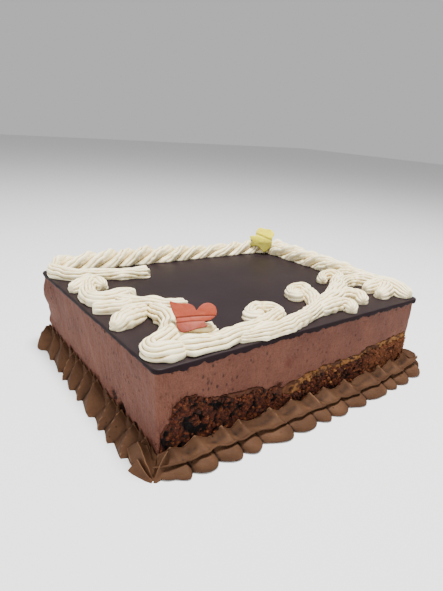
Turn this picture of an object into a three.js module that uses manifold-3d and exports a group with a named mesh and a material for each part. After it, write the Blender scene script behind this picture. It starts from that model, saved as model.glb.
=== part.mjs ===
// A chocolate custard sponge cake, cut square from its frame: dark sponge, a strip of custard
// sponge, chocolate mousse and a thin sheet of glaze, with ropes and scrolls of cream on top, a
// ruffled border of chocolate cream round the foot, and two sugar butterflies.
// Millimetres, +Z up. The origin is the middle of the underside. The front, -Y, shows its layers.
import * as THREE from "three";
import Module from "manifold-3d";

const wasm = await Module();
wasm.setup();

// ---------------------------------------------------------------- driving dimensions
const CAKE_WIDTH = 250; // along X
const CAKE_DEPTH = 203; // along Y
const CAKE_HEIGHT = 68; // underside to the top of the glaze
const CORNER_RADIUS = 4;
const GAP = 0.3; // between pieces that touch

const SPONGE_HEIGHT = 27; // inside the cake
const CUSTARD_THICKNESS = 4; // inside the cake
const MOUSSE_SKIN = 4.5; // mousse that hangs down over the sponge
const MOUSSE_FOOT = 0.6; // its lower edge, clear of what the cake stands on
const GLAZE_THICKNESS = 2;
const GLAZE_OVERHANG = 1;

const ROPE_WIDTH = 17.5;
const ROPE_HEIGHT = 13.5;
const ROPE_PITCH = 19.5;
const BORDER_PITCH = 20.5;
const SUGAR_THICKNESS = 1.8;

// ---------------------------------------------------------------- materials
const surface = (color, roughness) => new THREE.MeshStandardMaterial({ color, roughness, metalness: 0 });
const SPONGE = surface(0x4a2814, 0.95);
const CUSTARD = surface(0xa57d4b, 0.9);
const MOUSSE = surface(0x92675b, 0.8);
const GLAZE = surface(0x4c4040, 0.35);
const CHOCOLATE_CREAM = surface(0x8c6448, 0.6);
const CREAM = surface(0xebe4d4, 0.5);
const CORAL_SUGAR = surface(0xe0805f, 0.6);
const YELLOW_SUGAR = surface(0xe6dc78, 0.6);

// ---------------------------------------------------------------- small maths
const { PI, sin, cos, abs, sqrt, min, max } = Math;
const mix = (a, b, t) => a + (b - a) * t;
const clamp01 = (t) => min(1, max(0, t));
const ease = (t) => t * t * (3 - 2 * t);

// A smooth curve through [x, value] pairs, level beyond its two ends
const through = (pairs) => (x) => {
  const next = pairs.findIndex(([at]) => at > x);
  if (next === 0) return pairs[0][1];
  if (next < 0) return pairs[pairs.length - 1][1];
  const [[x0, v0], [x1, v1]] = [pairs[next - 1], pairs[next]];
  return mix(v0, v1, ease((x - x0) / (x1 - x0)));
};

// Slow unevenness between -1 and 1, the same on every run
const uneven = (s, length, seed) =>
  0.6 * sin((2 * PI * s) / length + seed) + 0.4 * sin((2 * PI * s * 2.3) / length + 1.7 * seed);

// ---------------------------------------------------------------- closed solids
function closedSolid(points, triangles) {
  const build = (order) =>
    new wasm.Manifold(
      new wasm.Mesh({
        numProp: 3,
        vertProperties: new Float32Array(points.flat()),
        triVerts: new Uint32Array(triangles.flatMap(order)),
      }),
    );
  const made = build(([a, b, c]) => [a, b, c]);
  return made.volume() > 0 ? made : build(([a, b, c]) => [a, c, b]);
}

// Rings of equal length joined one to the next; each end is closed by a fan to its own point.
// A face is split along whichever diagonal runs higher, so faces that lie on one another split alike.
function loft(rings, firstPoint, lastPoint) {
  const count = rings[0].length;
  const points = [...rings.flat(), firstPoint, lastPoint];
  const [first, last] = [points.length - 2, points.length - 1];
  const triangles = [];
  for (let i = 0; i < count; i++) {
    const j = (i + 1) % count;
    for (let r = 0; r + 1 < rings.length; r++) {
      const [a, b, c, d] = [r * count + i, r * count + j, (r + 1) * count + j, (r + 1) * count + i];
      const height = (one, other) => points[one][2] + points[other][2];
      if (height(a, c) > height(b, d)) triangles.push([a, b, c], [a, c, d]);
      else triangles.push([a, b, d], [b, c, d]);
    }
    const top = (rings.length - 1) * count;
    triangles.push([first, j, i], [last, top + i, top + j]);
  }
  return closedSolid(points, triangles);
}

// The largest body that is left after a cut; crumbs smaller than it are dropped
function largest(solid) {
  const bodies = solid.decompose();
  return bodies.reduce((best, body) => (body.volume() > best.volume() ? body : best));
}

const union = (solids) => solids.reduce((whole, solid) => whole.add(solid));

function meshOf(name, solid, material) {
  const { vertProperties, triVerts } = solid.getMesh();
  const geometry = new THREE.BufferGeometry();
  geometry.setAttribute("position", new THREE.BufferAttribute(new Float32Array(vertProperties), 3));
  geometry.setIndex(new THREE.BufferAttribute(new Uint32Array(triVerts), 1));
  geometry.computeVertexNormals();
  const mesh = new THREE.Mesh(geometry, material);
  mesh.name = name;
  return mesh;
}

// ---------------------------------------------------------------- the cake's outline
// A walk round the foot, anticlockwise from the middle of the left back corner: left side, near
// corner, front, right corner, right side, back corner, back. Outward is on the right hand.
const SIDE_LENGTHS = [CAKE_DEPTH, CAKE_WIDTH, CAKE_DEPTH, CAKE_WIDTH].map((l) => l - 2 * CORNER_RADIUS);
const CORNER_ARC = (PI / 2) * CORNER_RADIUS;
const [LEFT, FRONT, RIGHT, BACK] = [0, 1, 2, 3];
const SIDE_STARTS = [0, 1, 2, 3].map((side) =>
  SIDE_LENGTHS.slice(0, side).reduce((sum, length) => sum + length + CORNER_ARC, 0),
);
const OUTLINE_LENGTH = SIDE_STARTS[BACK] + SIDE_LENGTHS[BACK] + CORNER_ARC;
const sideEnd = (side) => SIDE_STARTS[side] + SIDE_LENGTHS[side] + CORNER_ARC;

// The place at s mm along the walk: point, outward direction, side and distance from its middle
function walk(distance) {
  const s = ((distance % OUTLINE_LENGTH) + OUTLINE_LENGTH) % OUTLINE_LENGTH;
  const side = [BACK, RIGHT, FRONT, LEFT].find((k) => s >= SIDE_STARTS[k]);
  const length = SIDE_LENGTHS[side];
  const along = s - SIDE_STARTS[side] - CORNER_ARC / 2 - length / 2;
  const past = max(0, abs(along) - length / 2) * Math.sign(along);
  const turn = past / CORNER_RADIUS;
  const heading = -PI / 2 + (side * PI) / 2;
  const [ahead, out] = [[cos(heading), sin(heading)], [sin(heading), -cos(heading)]];
  const reach = side % 2 ? CAKE_DEPTH / 2 : CAKE_WIDTH / 2;
  const straight = along - past;
  const a = straight + CORNER_RADIUS * sin(turn);
  const b = reach - CORNER_RADIUS * (1 - cos(turn));
  const normal = [out[0] * cos(turn) + ahead[0] * sin(turn), out[1] * cos(turn) + ahead[1] * sin(turn)];
  const corner = abs(along) > length / 2 - 0.001;
  return { x: ahead[0] * a + out[0] * b, y: ahead[1] * a + out[1] * b, normal, side, along, corner };
}

// A point outward of a place. A corner deeper in than its own radius keeps a small one of its own.
const SMALLEST_CORNER = 0.3;
function placed({ x, y, normal, corner }, outward, z) {
  const inside = corner ? max(0, -outward - (CORNER_RADIUS - SMALLEST_CORNER)) : 0;
  const move = (at, direction) => at + direction * (outward + inside) - inside * Math.sign(at);
  return [move(x, normal[0]), move(y, normal[1]), z];
}

// Stations round the whole outline: evenly along each side, and cornerSteps round each corner
function stations(countsBySide, cornerSteps) {
  const evenly = (from, to, count) => Array.from({ length: count }, (_, i) => mix(from, to, i / count));
  return countsBySide.flatMap((count, side) => {
    const [start, end] = [SIDE_STARTS[side] + CORNER_ARC / 2, sideEnd(side) - CORNER_ARC / 2];
    return [...evenly(start, end, count), ...evenly(end, end + CORNER_ARC, cornerSteps)];
  });
}

// ---------------------------------------------------------------- sponge, custard and mousse
// The layers show on the front and on the right side; over the other two the mousse hangs down.
const spongeTopOnFront = through([
  [-122, 22], [-117, 28], [-113, 38], [-108, 42], [-99, 42], [-90, 36], [-80, 33], [-66, 30], [-48, 29],
  [-38, 24], [-24, 17], [-12, 16], [0, 23], [20, 25], [55, 25], [72, 29], [95, 31], [125, 32],
]);
const custardOnFront = through([
  [-90, 0.5], [-80, 2.5], [-66, 3.5], [-38, 3], [-26, 8], [-12, 10.5], [0, 6], [20, 5.5], [60, 4.5], [125, 4],
]);
const bareFront = through([[-123.8, 0], [-122.6, 1]]);
const bareRight = through([[84, 1], [93, 0]]);

function layersAt(s) {
  const place = walk(s);
  const { side, x, y } = place;
  const bare = side === FRONT ? bareFront(x) : side === RIGHT ? bareRight(y) : 0;
  const rough = uneven(s, 17, 1) + 0.6 * uneven(s, 7.3, 2);
  const top = side === FRONT ? spongeTopOnFront(x) : side === RIGHT ? 31 + uneven(s, 60, 3) : SPONGE_HEIGHT;
  const custard = side === FRONT ? custardOnFront(x) : CUSTARD_THICKNESS;
  return {
    place,
    spongeTop: mix(SPONGE_HEIGHT, top + 0.7 * rough, bare),
    side: mix(-MOUSSE_SKIN, -0.3 + 0.2 * rough, bare),
    custard: mix(CUSTARD_THICKNESS, custard, bare),
    bare,
  };
}

// The layers' edges are uneven only in a rim; farther in, each layer is flat
const LAYER_STATIONS = stations([5, 36, 14, 4], 4).map(layersAt);
const LAYER_RIM = 9;
const EDGE_BEVEL = 0.2;
const layerRing = (outward, height) =>
  LAYER_STATIONS.map((at) => placed(at.place, at.side + outward, height(at)));

function spongeSolid() {
  return loft(
    [
      layerRing(0, () => 0),
      layerRing(0, (at) => 0.5 * at.spongeTop),
      layerRing(-EDGE_BEVEL, (at) => at.spongeTop),
      layerRing(-LAYER_RIM, () => SPONGE_HEIGHT),
    ],
    [0, 0, 0],
    [0, 0, SPONGE_HEIGHT],
  );
}

const CUSTARD_BOTTOM = SPONGE_HEIGHT + GAP;
const CUSTARD_TOP = CUSTARD_BOTTOM + CUSTARD_THICKNESS;
const custardEdge = (at) => at.spongeTop + GAP + at.custard;

function custardSolid() {
  return loft(
    [
      layerRing(-LAYER_RIM, () => CUSTARD_BOTTOM),
      layerRing(-EDGE_BEVEL, (at) => at.spongeTop + GAP),
      layerRing(-EDGE_BEVEL, custardEdge),
      layerRing(-LAYER_RIM, () => CUSTARD_TOP),
    ],
    [0, 0, CUSTARD_BOTTOM],
    [0, 0, CUSTARD_TOP],
  );
}

// The room that the sponge and the custard take up in the mousse
function layerRoom() {
  const under = -1;
  return loft(
    [
      layerRing(GAP, () => under),
      layerRing(GAP, (at) => custardEdge(at) + GAP),
      layerRing(-EDGE_BEVEL, (at) => custardEdge(at) + GAP),
      layerRing(-LAYER_RIM, () => CUSTARD_TOP + GAP),
    ],
    [0, 0, under],
    [0, 0, CUSTARD_TOP + GAP],
  );
}

const MOUSSE_TOP = CAKE_HEIGHT - GLAZE_THICKNESS - GAP;

// The mousse's side is a little wavy, with one soft bulge under the glaze at the left back corner
function mousseOutward(s, height) {
  const fromCorner = min(s, OUTLINE_LENGTH - s);
  const bulge = 3 * Math.exp(-((fromCorner / 16) ** 2)) * sin(PI * clamp01((height - 38) / 24));
  const recess = mix(0.5, 1, layersAt(s).bare);
  return -recess + 0.3 * uneven(s + 0.6 * height, 43, height / 30) + bulge;
}

function mousseSolid() {
  const places = stations([12, 14, 7, 6], 2);
  const ring = (height, inward) =>
    places.map((s) => placed(walk(s), mousseOutward(s, height) - inward, height));
  const block = loft(
    [ring(MOUSSE_FOOT, 0), ring(22, 0), ring(40, 0), ring(52, 0), ring(MOUSSE_TOP - 4, 0), ring(MOUSSE_TOP, 0.3)],
    [0, 0, MOUSSE_FOOT],
    [0, 0, MOUSSE_TOP],
  );
  return largest(block.subtract(layerRoom()).subtract(union(mousseHoles())));
}

// Holes low in the left side, where the mousse didn't close over the sponge: [y, z, length, height]
function mousseHoles() {
  const holes = [[-10, 18.5, 5, 4], [-37, 18, 10, 9], [-50, 14, 11, 12], [-72, 12, 8, 7]];
  return holes.map(([y, z, length, height]) => {
    const ball = new THREE.IcosahedronGeometry(0.5, 1);
    ball.scale(2.2 * MOUSSE_SKIN, length, height);
    ball.rotateX(-0.4);
    ball.translate(-CAKE_WIDTH / 2, y, z);
    return solidOfGeometry(ball);
  });
}

// A closed solid from a three.js geometry, its corners merged by place
function solidOfGeometry(geometry) {
  const position = (geometry.index ? geometry.toNonIndexed() : geometry).getAttribute("position");
  const found = new Map();
  const points = [];
  const corner = (i) => {
    const point = [position.getX(i), position.getY(i), position.getZ(i)];
    const key = point.map((value) => value.toFixed(3)).join();
    if (!found.has(key)) found.set(key, points.push(point) - 1);
    return found.get(key);
  };
  const triangles = [];
  for (let i = 0; i < position.count; i += 3) triangles.push([corner(i), corner(i + 1), corner(i + 2)]);
  return closedSolid(points, triangles.filter(([a, b, c]) => a !== b && b !== c && c !== a));
}

// ---------------------------------------------------------------- glaze
// A thin sheet whose edge laps over the mousse and hangs down unevenly, most near the front corner
function glazeSolid() {
  const places = stations([18, 22, 8, 8], 2);
  const sheet = (outward, height) => places.map((s) => placed(walk(s), outward(s), height(s)));
  const lip = (s) => {
    const nearCorner = Math.exp(-(((s - sideEnd(LEFT)) / 45) ** 2));
    return CAKE_HEIGHT - GLAZE_THICKNESS - 0.9 - (0.7 + 1.1 * nearCorner) * (1 + uneven(s, 21, 5));
  };
  const top = () => CAKE_HEIGHT;
  const under = () => CAKE_HEIGHT - GLAZE_THICKNESS;
  return loft(
    [
      sheet(() => -0.6, top),
      sheet(() => GLAZE_OVERHANG, () => CAKE_HEIGHT - 0.8),
      sheet(() => GLAZE_OVERHANG - 0.1, lip),
      sheet(() => GAP, under),
    ],
    [0, 0, CAKE_HEIGHT],
    [0, 0, CAKE_HEIGHT - GLAZE_THICKNESS],
  );
}

// ---------------------------------------------------------------- border round the foot
// Each side's border is a row of pleats that lean the way they were piped. A section across it
// starts at the cake's side and ends on the ground; across runs from 0 to 1 between the two.
const BORDER_LEAN = 0.55; // part of a pitch that a pleat shifts between the cake and the ground

// Round puffs with sharp valleys between them, and sharp crests with hollows between them
const puff = (turns) => sqrt(abs(sin(PI * turns)));
const crest = (turns) => 1 - sqrt(abs(sin(PI * turns)));

// Two borders meet at a corner's middle; each end ring is moved a gap's width along the walk
const clearOfCorner = ({ x, y, normal, ...rest }, ahead) =>
  ({ x: x - normal[1] * ahead, y: y + normal[0] * ahead, normal, ...rest });

function border(side, { pitch, perPitch, reach, rise, section }) {
  const [start, end] = [SIDE_STARTS[side], sideEnd(side)];
  const count = Math.round(((end - start) / pitch) * perPitch);
  const rings = Array.from({ length: count + 1 }, (_, i) => {
    const s = mix(start, end, i / count);
    const place = clearOfCorner(walk(s), i === 0 ? GAP : i === count ? -GAP : 0);
    const sway = 0.25 * uneven(s, 90, side + 1);
    const turns = (across) => s / pitch + sway - BORDER_LEAN * across;
    const profile = section(turns, reach(place), rise(place), s);
    return [...profile, [GAP, 0]].map(([out, z]) => placed(place, out, z));
  });
  const middle = (ring) => {
    const sum = ring.reduce((total, point) => total.map((value, k) => value + point[k]), [0, 0, 0]);
    return sum.map((value) => value / ring.length);
  };
  return loft(rings, middle(rings[0]), middle(rings[count]));
}

// Seen on the front: a dimpled shelf, a thin ridge at its edge, and round puffs under the ridge
function puffedSection(turns, reach, rise, s) {
  const peak = 1 - puff(turns(0));
  const ridge = 0.62 * reach + 0.8 * uneven(s, 33, 6);
  const swell = reach * (0.78 + 0.22 * puff(turns(1)));
  return [
    [GAP, rise + 3.2 * peak],
    [0.32 * reach, 0.7 * rise + 2.2 * (1 - puff(turns(0.25)))],
    [ridge, 0.62 * rise + 0.5 * peak],
    [mix(ridge, swell, 0.45) - 1, 0.45 * rise],
    [swell, 0.2 * rise],
    [swell - 1.6, 0],
  ];
}

// Seen on the left: sharp crests that run down from the cake to pointed tips, hollow between them
function pleatedSection(turns, reach, rise) {
  return [
    [GAP, rise * (0.9 + 0.1 * crest(turns(0)))],
    [0.38 * reach * (0.85 + 0.15 * crest(turns(0.3))), rise * (0.72 + 0.18 * crest(turns(0.3)))],
    [0.72 * reach * (0.85 + 0.3 * crest(turns(0.6))), rise * (0.38 + 0.14 * crest(turns(0.6)))],
    [reach * (0.78 + 0.24 * crest(turns(0.85))), 0.13 * rise],
    [reach * (0.72 + 0.3 * crest(turns(1))), 0],
  ];
}

const BORDERS = {
  border_left: [LEFT, {
    pitch: BORDER_PITCH * 0.92,
    perPitch: 6,
    reach: ({ y }) => through([[-102, 13], [-74, 16], [-50, 15.5], [20, 14], [60, 11.5], [84, 11], [100, 15]])(y),
    rise: ({ y }) => through([[-100, 13], [-70, 16], [0, 17.5], [100, 18]])(y),
    section: pleatedSection,
  }],
  border_front: [FRONT, {
    pitch: BORDER_PITCH,
    perPitch: 6,
    reach: ({ x }) => through([[-125, 15.5], [-60, 19], [0, 20], [35, 21], [95, 19], [125, 19]])(x),
    rise: ({ x }) => through([[-110, 11], [0, 10], [60, 9], [105, 11], [125, 15]])(x),
    section: puffedSection,
  }],
  border_right: [RIGHT, {
    pitch: BORDER_PITCH,
    perPitch: 5,
    reach: ({ y }) => through([[-102, 19], [-80, 15.5]])(y),
    rise: ({ y }) => through([[-102, 15], [-80, 11]])(y),
    section: puffedSection,
  }],
  border_back: [BACK, {
    pitch: BORDER_PITCH,
    perPitch: 5,
    reach: ({ x }) => through([[-118, 15], [-95, 12]])(x),
    rise: () => 17,
    section: pleatedSection,
  }],
};

// ---------------------------------------------------------------- cream on top
const CREAM_FOOT = CAKE_HEIGHT + GAP;
const EDGE_X = CAKE_WIDTH / 2;
const EDGE_Y = CAKE_DEPTH / 2;

// Evenly spaced places along a smooth path through [x, y] points
function along(path, spacing) {
  const curve = new THREE.CatmullRomCurve3(path.map(([x, y]) => new THREE.Vector3(x, y, 0)), false, "centripetal");
  const length = curve.getLength();
  const count = max(3, Math.round(length / spacing));
  return Array.from({ length: count + 1 }, (_, i) => {
    const t = i / count;
    const { x, y } = curve.getPointAt(t);
    const ahead = curve.getTangentAt(t);
    return { x, y, normal: [-ahead.y, ahead.x], t, s: t * length, length };
  });
}

// A section across a line of cream, a half round that stands on the glaze
const ARCH_STEPS = 8;
function arch(place, halfWidth, height, foot, factor = () => 1) {
  return Array.from({ length: ARCH_STEPS + 1 }, (_, k) => {
    const angle = (PI * k) / ARCH_STEPS;
    const part = factor(angle / PI, k);
    return placed(place, -cos(angle) * halfWidth * part, foot + height * sin(angle) ** 0.85 * part);
  });
}

// A twisted rope: overlapping turns that rise forwards over its back, each one ribbed
function rope([path, pitch, sizes], grow) {
  const places = along(path, pitch / 5);
  const sizeAt = through(sizes.map((value, i) => [i / (sizes.length - 1), value]));
  const rings = places.map((place) => {
    const fromEnd = min(place.s, place.length - place.s);
    const round = sqrt(clamp01((fromEnd + 2) / 9));
    const turn = (across) => (place.s / pitch - 0.9 * across) + 0.15 * uneven(place.s, 70, 7);
    const swell = (across) => 0.84 + 0.2 * puff(turn(across));
    const size = round * (sizeAt(place.t) + 0.05 * uneven(place.s, 45, 8));
    const [half, height] = [(size * ROPE_WIDTH) / 2 + grow, size * ROPE_HEIGHT + grow];
    return arch(place, half, height, CREAM_FOOT - grow, swell);
  });
  return closeEnds(rings);
}

// One line of piped cream with ribs along it, rounded off at both ends
function stroke([path, widths, heights], grow) {
  const places = along(path, 7);
  const widthAt = through(widths.map((value, i) => [i / (widths.length - 1), value]));
  const heightAt = through(heights.map((value, i) => [i / (heights.length - 1), value]));
  const rings = places.map((place) => {
    const half = widthAt(place.t) / 2;
    const fromEnd = min(place.s, place.length - place.s);
    const round = sqrt(clamp01(1 - (1 - min(1, (fromEnd + 0.12 * half) / half)) ** 2));
    const ribs = (_, k) => (k % 2 ? 0.93 : 1.03);
    return arch(place, half * round + grow, heightAt(place.t) * mix(0.55, 1, round) + grow, CREAM_FOOT - grow, ribs);
  });
  return closeEnds(rings);
}

function closeEnds(rings) {
  const middle = (ring) => {
    const [a, b, top] = [ring[0], ring[ARCH_STEPS], ring[ARCH_STEPS / 2]];
    return [(a[0] + b[0]) / 2, (a[1] + b[1]) / 2, (a[2] + top[2]) / 2];
  };
  return loft(rings, middle(rings[0]), middle(rings[rings.length - 1]));
}

// Each rope is a [path, pitch, sizes] line; it bends in a little where it turns the back corner
const ROPES = {
  cream_rope_back: [
    [[-EDGE_X + 1, EDGE_Y - 12], [-100, 94], [-60, 93], [-20, 90], [20, 87], [60, 84], [90, 82.5], [102, 79], [107, 71]],
    ROPE_PITCH,
    [1, 1, 1, 1.02, 1.08, 1.08],
  ],
  cream_rope_right: [
    [[105, 74], [107.5, 64], [108.5, 45], [110, 25], [112, 5], [113, -15], [115, -35], [117, -52], [118, -62]],
    ROPE_PITCH * 1.1,
    [1.08, 1.04, 1, 1, 0.9, 0.62],
  ],
};

// The scrolls, each a [path, widths, heights] line piped in one go; nodes are in the order piped
const SCROLLS = {
  cream_sweep_left: [
    [
      [[-122, 89], [-118, 77], [-110, 68], [-100, 64], [-88, 60], [-78, 56], [-67, 53], [-53, 51]],
      [15, 13, 12, 11, 11, 13], [10, 9, 8, 8, 9],
    ],
  ],
  cream_scroll_left: [
    [[[-104, 49], [-113, 43], [-123, 37]], [10, 13, 12], [9, 9, 7]],
    [[[-103, 49], [-98, 43], [-96, 34]], [11, 13, 12], [9, 9, 8]],
    [
      [[-104, 47], [-112, 32], [-117, 16], [-115, 5], [-106, 4], [-97, 7], [-90, 9], [-85, 6]],
      [12, 12, 13, 14, 14, 10], [9, 9, 9, 9, 9, 7],
    ],
  ],
  cream_hook_left: [
    [[[-124, -8], [-115, -11], [-106, -14], [-97, -11]], [10, 11, 10], [7, 8, 8]],
    [[[-104, -1], [-97, -9], [-90, -16], [-82, -22], [-73, -28], [-62, -30]], [11, 14, 15, 13, 11], [8, 8, 9, 8, 7]],
    [[[-93, -25], [-104, -31], [-113, -37], [-124, -43]], [13, 16, 16, 14], [9, 10, 10, 8]],
    [
      [[-89, -27], [-88, -44], [-92, -60], [-99, -74], [-108, -82], [-117, -84], [-125, -83]],
      [14, 14, 15, 17, 16], [9, 9, 10, 10, 9],
    ],
    [[[-103, -79], [-109, -88], [-113, -96]], [14, 15, 13], [9, 9, 7]],
  ],
  cream_scroll_front: [
    [[[-98, -79], [-88, -78], [-78, -78], [-68, -76]], [11, 12, 12, 10], [9, 9, 9, 8]],
    [
      [[-104, -89], [-93, -92], [-80, -93], [-62, -92], [-45, -89], [-28, -84], [-14, -79]],
      [16, 14, 13, 13, 11], [9, 9, 9, 9, 9],
    ],
    [[[-16, -82], [-13, -71], [-17, -63], [-25, -61], [-32, -65]], [10, 10, 10, 9], [8, 8, 8, 7]],
    [[[-31, -64], [-35, -70], [-31, -75], [-23, -74]], [9, 9, 7], [7, 7, 6]],
  ],
  cream_sweep_front: [
    [
      [[-64, -95], [-48, -97], [-30, -97], [-12, -94], [8, -88], [28, -80], [46, -73], [62, -66], [76, -58]],
      [9, 12, 13, 12, 13, 17, 19, 16], [6, 8, 9, 9, 9, 9, 9],
    ],
    [[[18, -88], [32, -86], [43, -86], [47, -92], [42, -98]], [11, 12, 12, 10], [8, 9, 9, 7]],
    [[[44, -72], [57, -71], [68, -74], [71, -82], [66, -90]], [12, 13, 13, 11], [8, 9, 9, 7]],
  ],
  cream_curl_middle: [
    [[[15, -85], [26, -73], [36, -61], [42, -50]], [10, 11, 12, 12], [8, 8, 8, 8]],
    [[[42, -52], [42, -44], [35, -41], [27, -45], [22, -51]], [11, 10, 10, 9], [8, 8, 8, 7]],
    [[[22, -50], [23, -57], [30, -57]], [8, 8, 6], [7, 7, 6]],
  ],
  cream_curl_right: [
    [[[58, -62], [70, -56], [83, -47], [94, -37]], [13, 13, 13, 12], [8, 9, 9, 9]],
    [[[94, -40], [98, -32], [96, -26], [89, -26], [82, -29], [76, -36]], [12, 11, 10, 9], [8, 8, 8, 7]],
  ],
  cream_fan_right: [
    [
      [[76, -51], [90, -47], [103, -48], [113, -55], [118, -68], [119, -83], [117, -99]],
      [11, 15, 18, 19, 18, 15], [8, 9, 10, 10, 10, 8],
    ],
    [[[114, -70], [103, -70], [92, -70]], [15, 15, 11], [11, 10, 8]],
    [[[114, -76], [102, -83], [91, -87]], [15, 16, 12], [11, 10, 8]],
  ],
};

// Every cream piece in turn, each cut back from the ones piped before it
function creamSolids() {
  const made = {};
  const grownSoFar = [];
  const add = (name, whole, grown) => {
    const clear = grownSoFar.length ? whole.subtract(union(grownSoFar)) : whole;
    made[name] = largest(clear);
    grownSoFar.push(grown.add(whole));
  };
  for (const [name, line] of Object.entries(ROPES)) add(name, rope(line, 0), rope(line, GAP));
  for (const [name, strokes] of Object.entries(SCROLLS))
    add(name, union(strokes.map((line) => stroke(line, 0))), union(strokes.map((line) => stroke(line, GAP))));
  return { made, grown: union(grownSoFar) };
}

// ---------------------------------------------------------------- sugar butterflies
// A thin sheet cut to an outline, scooped and folded, standing in the cream
function sugarPiece({ outline, at, facing, lean, fold }) {
  const shape = new THREE.Shape(new THREE.SplineCurve(outline.map(([x, y]) => new THREE.Vector2(x, y))).getPoints(outline.length * 2));
  const sheet = new THREE.ExtrudeGeometry(shape, { depth: SUGAR_THICKNESS, bevelEnabled: false, steps: 1 });
  const position = sheet.getAttribute("position");
  for (let i = 0; i < position.count; i++) {
    const [x, y, z] = [position.getX(i), position.getY(i), position.getZ(i)];
    const below = max(0, -y);
    position.setXYZ(i, x, y, z + fold * below - 0.012 * x * x);
  }
  sheet.rotateX(PI / 2 - lean);
  sheet.rotateZ(facing);
  sheet.translate(...at);
  return solidOfGeometry(sheet);
}

const CORAL_OUTLINE = [
  [-14, 11], [-11.3, 10.4], [-8.2, 9.8], [-2.5, 9.4], [1, 7.6], [2.6, 5.2], [4, 7.3], [7, 9.8], [11, 10.4],
  [14.4, 8.2], [15, 3.8], [12, 0.3], [7.6, -1.9], [9.3, -4.2], [3.8, -6.4], [-1.3, -8.3], [-6.3, -9], [-9, -6],
  [-10.2, 0.4], [-12.4, 5], [-14, 11],
];
const YELLOW_OUTLINE = [
  [-11.5, 3.6], [-9.5, 4.6], [-6, 4.6], [-5, 10], [-1.2, 13.4], [3.4, 12.6], [10.5, 12.4], [14.2, 8.5],
  [12.6, 3], [12.2, -3.5], [9.6, -8.5], [4.6, -12.5], [0.5, -9], [-3.6, -6.4], [-9, -6.8], [-10.6, -4],
  [-8.6, -1], [-10.6, 1], [-11.5, 3.6],
];
const VIEW_FACING = (-32 * PI) / 180; // both pieces face over the near corner

const group = new THREE.Group();
const addPart = (name, solid, material) => group.add(meshOf(name, solid, material));

addPart("sponge", spongeSolid(), SPONGE);
addPart("custard_layer", custardSolid(), CUSTARD);
addPart("mousse", mousseSolid(), MOUSSE);
addPart("glaze", glazeSolid(), GLAZE);
for (const [name, [side, shape]] of Object.entries(BORDERS)) addPart(name, border(side, shape), CHOCOLATE_CREAM);

const cream = creamSolids();
for (const [name, solid] of Object.entries(cream.made)) addPart(name, solid, CREAM);

const coral = sugarPiece({ outline: CORAL_OUTLINE, at: [-87.5, -78, 82.2], facing: VIEW_FACING, lean: 0.6, fold: 0.25 });
addPart("butterfly_coral", largest(coral.subtract(cream.grown)), CORAL_SUGAR);
const yellow = sugarPiece({ outline: YELLOW_OUTLINE, at: [94, 76, 81.5], facing: VIEW_FACING - 0.15, lean: 0.45, fold: 0.1 });
addPart("butterfly_yellow", largest(yellow.subtract(cream.grown)), YELLOW_SUGAR);

export default group;
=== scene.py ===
# %% [markdown]
# # A chocolate custard sponge cake
# A real cake of this kind is built in a metal frame: dark sponge, a little custard sponge, chocolate
# mousse up to the rim, and a poured glaze. The sides are trimmed with a knife, chocolate cream is
# piped round the foot, and ropes and scrolls of whipped cream and two sugar butterflies go on top.
# Each step below makes one of these in Blender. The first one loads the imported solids, which settle
# where everything is: every piece made here takes the place of one of them and keeps to its size.

# %% Load the solids
from math import cos, pi, radians, sin, sqrt
import bpy
import numpy as np
from mathutils import Matrix, Vector


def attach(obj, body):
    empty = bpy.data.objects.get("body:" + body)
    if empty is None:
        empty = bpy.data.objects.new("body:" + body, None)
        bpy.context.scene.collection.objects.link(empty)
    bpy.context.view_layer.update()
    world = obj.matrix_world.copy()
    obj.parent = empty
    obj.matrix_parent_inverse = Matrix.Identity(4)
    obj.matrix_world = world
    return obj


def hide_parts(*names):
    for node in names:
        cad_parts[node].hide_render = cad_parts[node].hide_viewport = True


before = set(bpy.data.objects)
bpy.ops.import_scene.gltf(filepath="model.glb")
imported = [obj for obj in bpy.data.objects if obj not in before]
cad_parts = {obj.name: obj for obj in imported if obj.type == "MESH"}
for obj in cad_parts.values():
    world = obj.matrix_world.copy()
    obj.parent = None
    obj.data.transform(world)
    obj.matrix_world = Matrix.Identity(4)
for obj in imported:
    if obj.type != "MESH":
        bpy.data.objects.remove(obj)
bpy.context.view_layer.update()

# %% [markdown]
# The sizes of the cake, in millimetres, are the ones its solids were made from. Blender works in
# metres, so each finished mesh is scaled once, at the very end. Keeping one short list of sizes at
# the top, and working everything else out from it, means that a change is made in one place.

# %% Sizes of the cake
MM = 0.001
CAKE_WIDTH = 250.0
CAKE_DEPTH = 203.0
CAKE_HEIGHT = 68.0
CORNER_RADIUS = 4.0
GAP = 0.3

SPONGE_HEIGHT = 27.0
CUSTARD_THICKNESS = 4.0
MOUSSE_SKIN = 4.5
MOUSSE_FOOT = 0.6
GLAZE_THICKNESS = 2.0
GLAZE_OVERHANG = 1.0

ROPE_WIDTH = 17.5
ROPE_HEIGHT = 13.5
ROPE_PITCH = 19.5
BORDER_PITCH = 20.5
SUGAR_THICKNESS = 1.6

GLAZE_BOTTOM = CAKE_HEIGHT - GLAZE_THICKNESS
MOUSSE_TOP = GLAZE_BOTTOM - GAP
CREAM_FOOT = CAKE_HEIGHT + GAP
print("the cake is", CAKE_WIDTH, "x", CAKE_DEPTH, "x", CAKE_HEIGHT, "mm")

# %% [markdown]
# Food is never even, so nearly every surface below is a smooth shape plus some unevenness. A curve
# through a few pairs of numbers gives the slow changes that can be seen on the real cake, such as
# the wandering top of the sponge. Smooth noise gives ripples with no pattern. Lumps, the distance
# to the nearest of many scattered points, give crumb and pits. All three work on whole arrays of
# points at once, which is fast, and from fixed seeds, so that every run makes the same cake.

# %% Curves, noise and lumps
def ease(t):
    return t * t * (3 - 2 * t)


def mix(a, b, t):
    return a + (b - a) * t


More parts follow.
